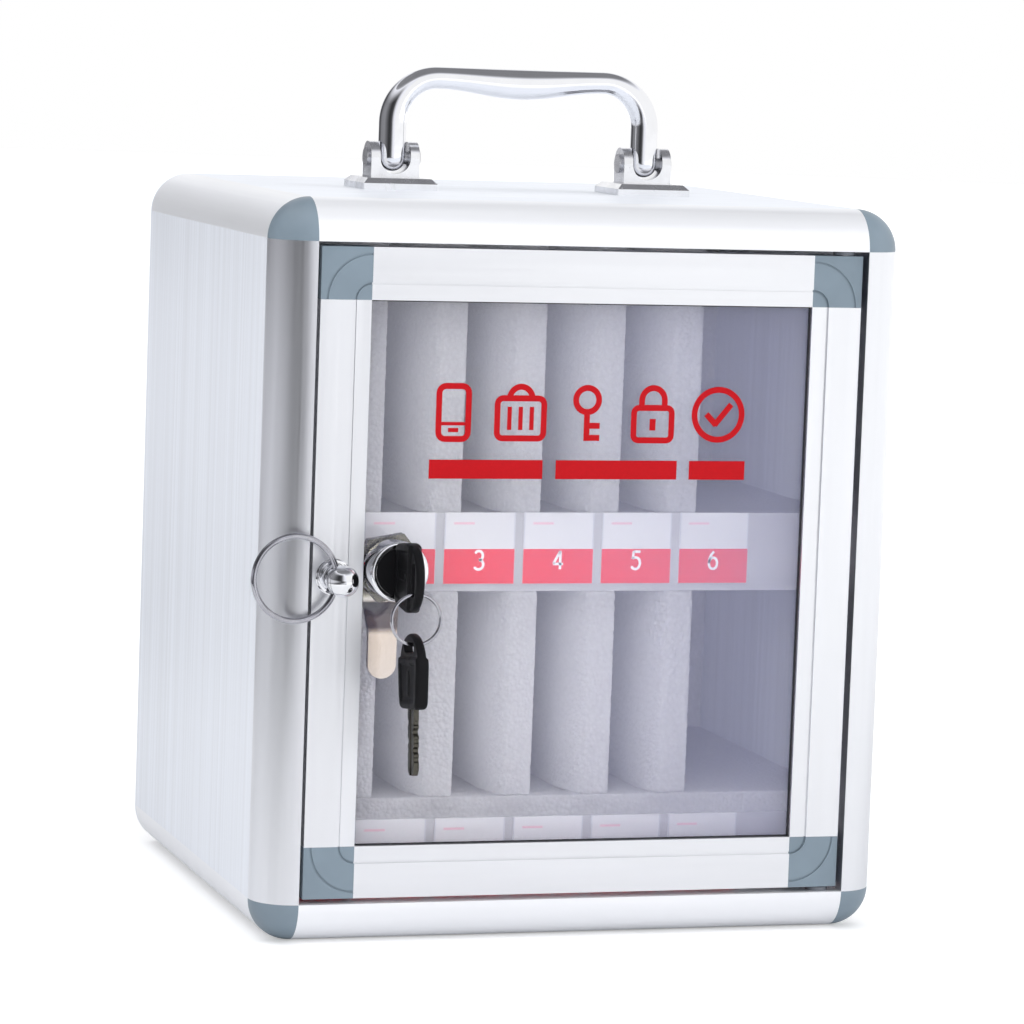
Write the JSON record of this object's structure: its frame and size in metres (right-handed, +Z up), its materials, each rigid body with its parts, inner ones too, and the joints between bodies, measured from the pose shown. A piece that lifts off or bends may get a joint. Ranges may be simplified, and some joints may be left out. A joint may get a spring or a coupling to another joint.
{
  "type": "cell phone locker box",
  "caption": "Table-top locker for cell phones: aluminium-edged case with numbered foam bays behind a framed clear door, with cam lock, keys on a ring, pull ring and folding handle.",
  "frame": {"origin": "centre of the base on the table", "axes": "X to the right as seen from the front, Y to the back, Z up; the door faces -Y"},
  "size_m": [0.2572, 0.2564, 0.3296],
  "materials": {
    "edge_profile": "satin",
    "case_panel": "satin",
    "corner_plastic": "satin",
    "foam": "matte",
    "shelf_board": "matte",
    "label_board": "satin",
    "label_card": "matte",
    "door_profile": "satin",
    "clear_pane": "polished",
    "black_rubber": "matte",
    "bright_chrome": "polished",
    "black_plastic": "satin",
    "bare_steel": "satin",
    "cam_plating": "satin",
    "key_metal": "satin",
    "bush_plastic": "satin"
  },
  "bodies": {
    "casing": {"front_post_left": "edge_profile", "front_post_right": "edge_profile", "front_rail_top": "edge_profile", "front_rail_bottom": "edge_profile", "depth_rail_top_left": "edge_profile", "depth_rail_top_right": "edge_profile", "depth_rail_bottom_left": "edge_profile", "depth_rail_bottom_right": "edge_profile", "corner_block_top_left": "corner_plastic", "corner_block_top_right": "corner_plastic", "corner_block_bottom_left": "corner_plastic", "corner_block_bottom_right": "corner_plastic", "side_panel_left": "case_panel", "side_panel_right": "case_panel", "top_panel": "case_panel", "bottom_panel": "case_panel", "back_panel": "case_panel", "back_screws": "bare_steel", "foam_base_lower": "foam", "foam_ribs_lower": "foam", "shelf": "shelf_board", "foam_base_upper": "foam", "foam_ribs_upper": "foam", "label_strip_lower": "label_board", "label_strip_upper": "label_board", "label_cards": "label_card", "hinge_bushes": "bush_plastic", "hinge_pins": "bare_steel", "handle_bracket_left": "bright_chrome", "handle_bracket_right": "bright_chrome", "handle_screws": "bare_steel", "handle_pins": "bare_steel"},
    "door": {"door_stile_left": "door_profile", "door_stile_right": "door_profile", "door_rail_top": "door_profile", "door_rail_bottom": "door_profile", "door_corner_top_left": "corner_plastic", "door_corner_top_right": "corner_plastic", "door_corner_bottom_left": "corner_plastic", "door_corner_bottom_right": "corner_plastic", "pane": "clear_pane", "gasket": "black_rubber", "knob": "bright_chrome", "knob_screw": "bare_steel", "lock_body": "bright_chrome", "lock_nut": "bare_steel"},
    "lock_core": {"lock_plug": "bare_steel", "lock_face": "black_plastic", "cam": "cam_plating", "cam_screw": "bare_steel"},
    "key_in_lock": {"key_head_1": "black_plastic", "key_blade_1": "key_metal"},
    "key_loop": {"key_ring": "bright_chrome"},
    "hanging_key": {"key_head_2": "black_plastic", "key_blade_2": "key_metal"},
    "knob_loop": {"pull_ring": "bright_chrome"},
    "handle": {"bail": "bright_chrome"}
  },
  "joints": [
    {"name": "door_hinge", "type": "hinge", "parent": "casing", "child": "door", "pos_m": [0.101, -0.101, 0.1405], "axis": [0, 0, 1], "range_deg": [0, 110]},
    {"name": "lock_turn", "type": "hinge", "parent": "door", "child": "lock_core", "pos_m": [-0.0755, -0.0987, 0.1425], "axis": [0, 1, 0], "range_deg": [0, 90]},
    {"name": "key_slide", "type": "slide", "parent": "lock_core", "child": "key_in_lock", "axis": [0, -1, 0], "range_m": [0, 0.03]},
    {"name": "key_loop_swing", "type": "hinge", "parent": "key_in_lock", "child": "key_loop", "pos_m": [-0.0755, -0.136, 0.13267], "axis": [0, 1, 0], "range_deg": [-90, 0]},
    {"name": "hanging_key_swing", "type": "hinge", "parent": "key_loop", "child": "hanging_key", "pos_m": [-0.0755, -0.136, 0.11852], "axis": [1, 0, 0], "range_deg": [-60, 30]},
    {"name": "knob_loop_swing", "type": "hinge", "parent": "door", "child": "knob_loop", "pos_m": [-0.0993, -0.1103, 0.14], "axis": [0, 0, 1], "range_deg": [0, 100]},
    {"name": "handle_swing", "type": "hinge", "parent": "casing", "child": "handle", "pos_m": [0, 0, 0.2932], "axis": [1, 0, 0], "range_deg": [-90, 90]}
  ],
  "couplings": [
    {"joint": "key_loop_swing", "follows": "lock_turn", "ratio": -1}
  ]
}
